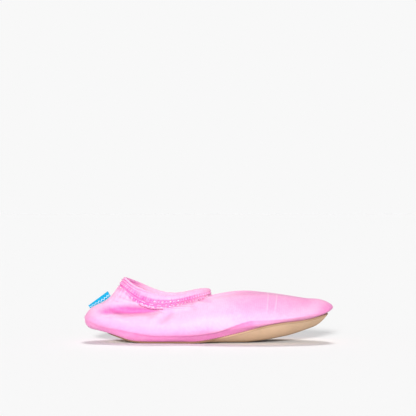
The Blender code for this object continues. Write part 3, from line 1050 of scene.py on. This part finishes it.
def makeSoleSeam(material):
    # a capsule at each pitch of the distance round the sole's edge, between it and the upper
    angles = anglesAround(soleLook["seamSamples"])
    outward = soleFrame(angles, 1.0)[0]
    row = solePoint(angles, 1.0, shoe["soleThickness"] + shoe["seamGap"] / 2) + outward * soleLook["seamOut"]
    steps = stepsRound(row)
    count = round(steps.sum() / soleLook["seamPitch"])
    picks = np.searchsorted(runningSum(steps)[:-1], np.arange(count) * steps.sum() / count)
    return makeStitches(
        "sole_seam_stitches", row[picks], alongRow(row)[picks], outward[picks],
        soleLook["seamLength"], soleLook["seamRadius"], material,
        np.full(count, soleLook["seamSlant"]),
    )


def soleMaterial():
    # tan to brown by the tint "edge": the brown cut edge, partly its own colour and partly painted shade, and
    # painted shade low down and in the cupped middle; with patches, under a grain and a finer nap
    material, tree, shader = newMaterial("tanSuede", soleLook["roughness"], **soleLook["shine"])
    place = objectPlace(tree)
    fineness, amount = soleLook["patches"]
    patches = times(tree, noise(tree, place, fineness), amount)
    edge = plus(tree, times(tree, valueOf(tree, "edge"), soleLook["edgeTint"]), patches)
    paint(tree, shader, mixNode(tree, edge, soleLook["tan"], soleLook["brown"]))
    (*grain, grainDepth), (nap, napDepth) = soleLook["grain"], soleLook["nap"]
    bump(tree, shader, (noise(tree, place, *grain), grainDepth), (noise(tree, place, nap), napDepth))
    return material


# heel ribbon

ribbon = {
    "lowAt": 0.525, "highAt": 0.725,  # heights of its ends as shares of the collar's height
    "lowReach": 0.0033, "highReach": 0.0054,
    "thickness": 0.0012,
    "corner": 0.5,  # power of the sine and cosine in its section, less is squarer
    "endTaper": (0.35, 0.01),  # how much thinner it is at its ends, and over what share of its length
    "around": 20,
    "along": 60,
    "aqua": (0.003, 0.30, 0.52),
    "white": (0.50, 0.62, 0.68),
    "roughness": 0.7,
    "shine": {"Specular IOR Level": 0.15},
    "wave": 0.0032,
    "line": (0.34, 0.12, 0.06),  # the wave line's middle, swing and half-width, as shares of the tape's width
    "threads": (0.0005, 0.00008),  # pitch and depth
}


def makeRibbon(material):
    # a folded tape on edge: an oval section across it, carried along the seam up the back of the heel
    heel = upperSkin(np.array([math.pi]), upperLevels())[:, 0]
    heel = heel[np.argmin(heel[:, 0]):]
    along = np.linspace(0, 1, ribbon["along"])
    z = mix(ribbon["lowAt"], ribbon["highAt"], along) * shoe["collarHeight"]
    x = np.interp(z, heel[:, 2], heel[:, 0])
    run, climb = x[-1] - x[0], z[-1] - z[0]
    out = np.array([-climb, run]) / math.hypot(run, climb)
    seam = np.stack([x, z], axis=1) + out * shoe["seamGap"]
    low, high = seam[0] + out * ribbon["lowReach"], seam[-1] + out * ribbon["highReach"]
    free = mix(low, high, along[:, None])
    turns = anglesAround(ribbon["around"])
    share = (1 + powerOf(np.cos(turns), ribbon["corner"])) / 2
    side = powerOf(np.sin(turns), ribbon["corner"]) * ribbon["thickness"] / 2
    thinner, reach = ribbon["endTaper"]
    taper = (1 - thinner * hump(along, reach) - thinner * hump(1 - along, reach))[:, None]
    flat = mix(seam[:, None, :], free[:, None, :], share[None, :, None])
    size = flat.shape[:2]
    points = np.stack([flat[..., 0], np.broadcast_to(side, size) * taper, flat[..., 1]], axis=-1)
    count = len(turns)
    i = np.arange(count // 2 - 1)
    cap = np.stack([i, i + 1, count - 2 - i, count - 1 - i], axis=-1)
    quads = np.concatenate([gridQuads(*size, joinedRows=False), cap, cap + (len(along) - 1) * count])
    travelled = along[:, None] * math.hypot(*(high - low))
    uv = np.stack([np.broadcast_to(travelled, size), np.broadcast_to(share, size)], axis=-1)
    return makePiece(
        "heel_ribbon", centred(points.reshape(-1, 3)), quads, material, ("heel_label",),
        uv.reshape(-1, 2),
    )


def ribbonMaterial():
    # aqua tape with a plain woven wave line along it: white where the wave's height is near the point's own
    material, tree, shader = newMaterial("aquaTape", ribbon["roughness"], **ribbon["shine"])
    cloth = clothPlace(tree)
    axes = axesOf(tree, cloth)
    middle, rise, width = ribbon["line"]
    beat = times(tree, axes[0], 2 * math.pi / ribbon["wave"])
    height = plus(tree, times(tree, mathNode(tree, "SINE", beat), rise), middle)
    off = mathNode(tree, "ABSOLUTE", minus(tree, axes[1], height))
    line = mathNode(tree, "LESS_THAN", off, width)
    paint(tree, shader, mixNode(tree, line, ribbon["aqua"], ribbon["white"]))
    pitch, depth = ribbon["threads"]
    bump(tree, shader, (weave(tree, cloth, pitch), depth))
    return material


# cotton and thread

cottonLook = {
    "pale": (0.84, 0.44, 0.66),
    "deep": (0.76, 0.32, 0.54),
    "roughness": 0.85,
    "shine": {"Specular IOR Level": 0.2, "Sheen Weight": 0.15},
    "patches": (45.0, 0.3),  # fineness and amount
    "knit": (0.0010, 0.00016),  # pitch and depth
    "fuzz": (400.0, 0.0001),  # fineness and depth
}

threadLook = {
    "white": (0.90, 0.78, 0.88),
    "brown": (0.34, 0.20, 0.16),
    "darker": 0.8,  # of the colour, between its plies
    "roughness": 0.6,
    "shine": {"Specular IOR Level": 0.3},
    "plies": 2500.0,
    "fuzz": (6000.0, 0.0001),
}


def cottonMaterial():
    # pale to deep pink in patches, with a knit and some fuzz
    material, tree, shader = newMaterial("pinkCotton", cottonLook["roughness"], **cottonLook["shine"])
    cloth, place = clothPlace(tree), objectPlace(tree)
    fineness, amount = cottonLook["patches"]
    share = times(tree, noise(tree, place, fineness), amount)
    paint(tree, shader, mixNode(tree, share, cottonLook["pale"], cottonLook["deep"]))
    (pitch, depth), (fineness, fuzzDepth) = cottonLook["knit"], cottonLook["fuzz"]
    bump(tree, shader, (weave(tree, cloth, pitch), depth), (noise(tree, place, fineness), fuzzDepth))
    return material


def threadMaterial(name, colour):
    # the colour and a darker one by fine noise
    material, tree, shader = newMaterial(name, threadLook["roughness"], **threadLook["shine"])
    place = objectPlace(tree)
    darker = tuple(threadLook["darker"] * part for part in colour)
    paint(tree, shader, mixNode(tree, noise(tree, place, threadLook["plies"]), colour, darker))
    fineness, depth = threadLook["fuzz"]
    bump(tree, shader, (noise(tree, place, fineness), depth))
    return material


print("making the pieces")
satinPlain = satinMaterial("pinkSatinCasing", False)
makeUpper(satinMaterial("pinkSatin", True))
cotton = cottonMaterial()
makeLining(cotton)
makeCasing(satinPlain)
makeCasingStitches(threadMaterial("whiteThread", threadLook["white"]))
makeSole(soleMaterial())
makeInsole(cotton)
makeSoleSeam(threadMaterial("brownThread", threadLook["brown"]))
makeRibbon(ribbonMaterial())

# studio: floor, light and camera

studio = {
    "paper": 0.939,  # the photograph's even background, as light
    "overhead": 0.22,  # the room's light straight above, softer than at the horizon
    "fade": (0.18, 0.40),  # heights between which it fades, as sines of the elevation
    # strength, elevation, degrees from straight in front towards the toe, and softness in degrees
    "lights": {"frontLight": (3.9, 17.0, -6.0, 9.0), "topLight": (1.75, 60.0, 176.0, 15.0)},
    "cameraAt": (-0.00094, -1.41, 0.129),
    "pixel": 0.000968,  # metres in the shoe's middle plane
    "imageWidth": 416,
    "sensor": 36.0,
    "farthest": 100,
    "samples": 400,  # for the sum of the room's light
    "floorReach": 30.0,
    "floorAt": -0.0001,  # just clear of the sole
    "floorPatches": (3.0, 0.004, 0.9),  # fineness, amount and how dark
}


def makeStudio():
    world = bpy.data.worlds.new("softWhiteRoom")
    world.use_nodes = True
    tree = world.node_tree
    tree.nodes["Background"].inputs["Color"].default_value = (1, 1, 1, 1)
    up = axesOf(tree, tree.nodes.new("ShaderNodeTexCoord").outputs["Generated"])[2]
    fade = shapeNode(tree, "ShaderNodeMapRange", interpolation_type="SMOOTHSTEP")
    for socket, value in zip(fade.inputs[1:5], (*studio["fade"], studio["paper"], studio["overhead"])):
        socket.default_value = value
    tree.links.new(up, fade.inputs[0])
    tree.links.new(fade.outputs[0], tree.nodes["Background"].inputs["Strength"])
    bpy.context.scene.world = world
    # the floor's light: the mean of 2 * sine * room light over the sines of elevation, and for each lamp
    # strength * sine / pi
    sines = (np.arange(studio["samples"]) + 0.5) / studio["samples"]
    start, end = studio["fade"]
    room = mix(studio["paper"], studio["overhead"], ease((sines - start) / (end - start)))
    onFloor = (2 * sines * room).mean()
    for name, (strength, elevation, azimuth, softness) in studio["lights"].items():
        light = bpy.data.lights.new(name, "SUN")
        light.energy = strength
        light.angle = math.radians(softness)
        addObject(name, light).rotation_euler = (math.radians(90 - elevation), 0, math.radians(azimuth))
        onFloor += strength * math.sin(math.radians(elevation)) / math.pi
    shade = studio["paper"] / onFloor  # the floor then shows as bright as the paper behind it
    material, tree, shader = newMaterial("palePaper", 1.0, **{"Specular IOR Level": 0.0})
    fineness, amount, darker = studio["floorPatches"]
    share = times(tree, noise(tree, objectPlace(tree), fineness), amount)
    paint(tree, shader, mixNode(tree, share, (shade,) * 3, (shade * darker,) * 3))
    reach, low = studio["floorReach"], studio["floorAt"]
    corners = [(-reach, -reach, low), (reach, -reach, low), (reach, reach, low), (-reach, reach, low)]
    mesh = bpy.data.meshes.new("floor")
    mesh.from_pydata(corners, [], [(0, 1, 2, 3)])
    mesh.materials.append(material)
    floor = addObject("floor", mesh)


def makeCamera():
    # the lens that shows a metre in the shoe's middle plane as 1 / pixel picture points
    data = bpy.data.cameras.new("camera")
    data.sensor_width = studio["sensor"]
    distance = -studio["cameraAt"][1]
    data.lens = studio["sensor"] * distance / (studio["imageWidth"] * studio["pixel"])
    data.clip_end = studio["farthest"]
    camera = addObject("camera", data)
    camera.location = studio["cameraAt"]
    camera.rotation_euler = (math.pi / 2, 0, 0)
    bpy.context.scene.camera = camera


makeStudio()
makeCamera()
bpy.context.scene.view_settings.view_transform = "Standard"
print("studio made")
